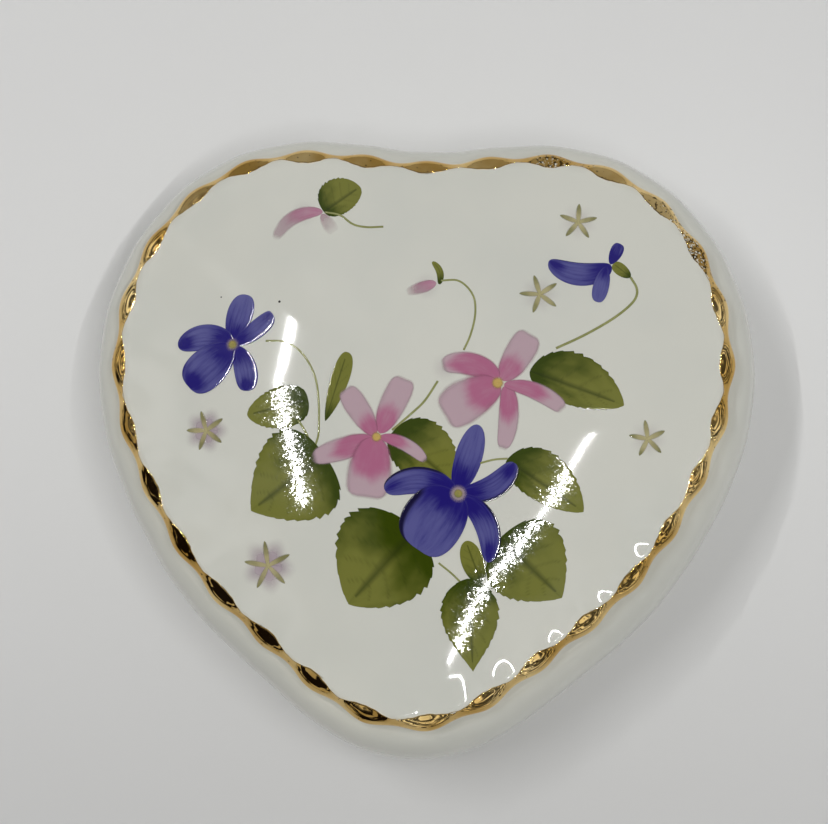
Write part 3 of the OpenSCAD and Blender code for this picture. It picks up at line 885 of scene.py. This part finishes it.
def build_enamel():
    """The painted spray, colour by colour."""
    blue, pink, green = blue_enamel(), pink_enamel(), leaf_enamel()
    stem_green = wash_enamel("stem_green_enamel", srgb(160, 162, 108), srgb(118, 124, 66))
    olive = wash_enamel("olive_enamel", srgb(204, 194, 142), srgb(130, 128, 72))
    yellow = wash_enamel("yellow_enamel", srgb(204, 172, 98), srgb(122, 132, 76))
    lilac = wash_enamel("lilac_enamel", srgb(196, 176, 186), srgb(174, 152, 172), 0.0)
    for obj in (make_blue_left(blue), make_blue_middle(blue), make_blue_bud(blue)):
        place(obj, "lid", "violet_blue_enamel", "blue_violet_enamel")
    for obj in (make_pink_left(pink), make_pink_right(pink), make_pink_buds(pink)):
        place(obj, "lid", "rose_pink_enamel", "pink_violet_enamel")
    for obj in (make_leaves(green), make_sepals(green)):
        place(obj, "lid", "leaf_green_enamel", "leaf_enamel")
    place(make_stems(stem_green), "lid", "stem_green_enamel", "stem_enamel")
    for obj in (make_stars(olive), make_halos(lilac)):
        place(obj, "lid", "olive_enamel", "star_blossom_enamel")
    speck = wash_enamel("kiln_speck", srgb(52, 44, 40), srgb(30, 26, 24), 0)
    place(make_specks(speck), "lid", "glazed_porcelain_lid", "box_lid")
    for obj in (make_eyes(yellow), make_eye_ring(lilac)):
        place(obj, "lid", "yellow_enamel", "flower_centre_enamel")


# ---------------------------------------------------------------- stage, camera and lights
TABLE_SIZE = 4.0


def table_top():
    """A pale matt table, with a painted shadow that darkens it towards the viewer."""
    n = Nodes("table_top")
    away = n.add("ShaderNodeSeparateXYZ", i0=n.where()).outputs["Y"]
    colour = n.mix(n.noise(30, 3), srgb(238, 238, 237), srgb(235, 235, 234))
    # Painted shadow: the colour darkens towards the viewer (low y), standing in for the shade that
    # falls on that part of the table.
    colour = n.mix(n.band(away, -0.09, 0.03), srgb(208, 208, 207), colour)
    n.finish(Base_Color=colour, Roughness=0.6)
    half = TABLE_SIZE / 2
    mesh = bpy.data.meshes.new("table")
    mesh.from_pydata([(-half, -half, 0), (half, -half, 0), (half, half, 0), (-half, half, 0)], [],
                     [(0, 1, 2, 3)])
    table = bpy.data.objects.new("table", mesh)
    mesh.materials.append(n.material)
    bpy.context.scene.collection.objects.link(table)


CAMERA_DISTANCE = 230 * MM
CAMERA_TILT = math.radians(9)
CAMERA_SIDE = math.radians(22)
CAMERA_ROLL = math.radians(2.0)
CAMERA_TARGET = Vector((-0.58, 3.70 - CENTRE_Y, 24)) * MM
CAMERA_LENS = 78
CAMERA_SENSOR = 36
CAMERA_AIM = (math.sin(CAMERA_TILT) * math.sin(CAMERA_SIDE),
              -math.sin(CAMERA_TILT) * math.cos(CAMERA_SIDE), math.cos(CAMERA_TILT))


def add_camera():
    """A close view from nearly overhead, leaning towards the tip of the heart and the right."""
    back = Vector(CAMERA_AIM)
    right = (-back).cross(Vector((0, 1, 0))).normalized()
    up = right.cross(-back)
    c, s = math.cos(CAMERA_ROLL), math.sin(CAMERA_ROLL)
    right, up = c * right + s * up, c * up - s * right
    data = bpy.data.cameras.new("camera")
    data.lens, data.sensor_width = CAMERA_LENS, CAMERA_SENSOR
    camera = bpy.data.objects.new("camera", data)
    camera.matrix_world = Matrix.Translation(CAMERA_TARGET + CAMERA_DISTANCE * back) @ Matrix(
        (right, up, back)).transposed().to_4x4()
    bpy.context.scene.collection.objects.link(camera)
    bpy.context.scene.camera = camera
    return camera


# The strip lights: their distance and width in metres and their radiance, and where their
# reflections run over the dome, in millimetres.
TUBE_DISTANCE = 0.7
LEFT_TUBE = (0.005, 222)
RIGHT_TUBE = (0.0028, 395)
LEFT_STREAK = ((-16.2, 14.6), (-17.8, 6.2), (-16.3, 0.4), (-13.8, -9.2))
RIGHT_STREAK = ((21.9, 0.9), (18.3, -6.2), (13.4, -13.3), (8.9, -19.2), (6, -25.8), (4.9, -27.8))
SKY_STRENGTH = 0.16


def surface(x, y):
    """A point of the dome, in metres, and its upward normal."""
    e = 0.05
    z = lid_z(np.array([x, x + e, x - e, x, x]), np.array([y, y, y, y + e, y - e]))
    normal = Vector((-(z[1] - z[2]) / (2 * e), -(z[3] - z[4]) / (2 * e), 1)).normalized()
    return Vector((x, y - CENTRE_Y, z[0])) * MM, normal


def mirrored(camera, x, y):
    """Where a light must be for its reflection to show at (x, y) on the dome."""
    point, normal = surface(x, y)
    view = (camera.matrix_world.translation - point).normalized()
    return point + TUBE_DISTANCE * (2 * view.dot(normal) * normal - view)


def tube(name, camera, width, radiance, points):
    """A bent strip light whose reflection runs over the dome through the points."""
    spots = [mirrored(camera, x, y) for x, y in points]
    for i, (a, b) in enumerate(zip(spots, spots[1:])):
        data = bpy.data.lights.new(f"{name}_{i}", "AREA")
        data.shape, data.size, data.size_y = "RECTANGLE", (b - a).length, width
        data.energy = radiance * math.pi * data.size * width
        light = bpy.data.objects.new(f"{name}_{i}", data)
        x = (b - a).normalized()
        z = ((a + b) / 2).normalized()
        z = (z - z.dot(x) * x).normalized()
        light.matrix_world = Matrix.Translation((a + b) / 2) @ Matrix(
            (x, z.cross(x), z)).transposed().to_4x4()
        bpy.context.scene.collection.objects.link(light)


class Sky(Nodes):
    """The node tree of the studio's surroundings."""

    def __init__(self):
        self.world = bpy.data.worlds.new("studio")
        self.world.use_nodes = True
        self.tree = self.world.node_tree

    def towards(self, direction, *aim):
        """Cosine of the angle from an aim."""
        aim = Vector(aim).normalized()
        return self.vector_math("DOT_PRODUCT", i0=direction, i1=aim).outputs["Value"]


def soft_world():
    """A room as the gold sees it: streaky low down, plain overhead and behind the notch of the
    heart, dark where somebody stands at the lower left, and dark round the camera."""
    n = Sky()
    direction = n.add("ShaderNodeTexCoord").outputs["Generated"]
    height = n.add("ShaderNodeSeparateXYZ", i0=direction).outputs["Z"]
    streaks = n.band(n.noise(1, 3, n.stretched(direction, (7, 7, 16)), 0.55), 0.48, 0.62)
    streaky = n.math("ADD", 0.4, n.math("MULTIPLY", streaks, 6.0))
    low = n.math("SUBTRACT", 1.0, n.band(height, 0.8, 0.95))
    plain = n.math("ADD", 1.0, n.math("MULTIPLY", n.towards(direction, 0.6, 0.75, 0.1), 0.5))
    plain = n.math("MULTIPLY", plain, n.math("ADD", 1.0, n.math("MULTIPLY", low, 0.5)))
    beside = n.math("SUBTRACT", 1.0, n.band(n.towards(direction, 0.1, 1, 0.3), 0.55, 0.75))
    light = n.mix(n.math("MULTIPLY", low, beside), plain, streaky)
    figure = n.band(n.towards(direction, -0.72, -0.62, 0.3), 0.72, 0.8)
    patch = n.band(n.noise(4, 1, direction), 0.52, 0.56)
    dark = n.mix(patch, (0.05, 0.035, 0.03, 1), (2.4, 2.2, 1.7, 1))
    light = n.mix(figure, light, dark)
    phone = n.band(n.towards(direction, *CAMERA_AIM), 0.968, 0.978)
    light = n.mix(phone, light, (0.2, 0.19, 0.18, 1))
    background = n.tree.nodes["Background"]
    n.put(background, "Color", light)
    background.inputs["Strength"].default_value = SKY_STRENGTH
    bpy.context.scene.world = n.world


def build_stage():
    """The table, the camera, the room and the two strip lights."""
    table_top()
    camera = add_camera()
    soft_world()
    tube("left_tube", camera, *LEFT_TUBE, LEFT_STREAK)
    tube("right_tube", camera, *RIGHT_TUBE, RIGHT_STREAK)
    bpy.context.scene.view_settings.view_transform = "Standard"


build_box()
build_enamel()
build_stage()
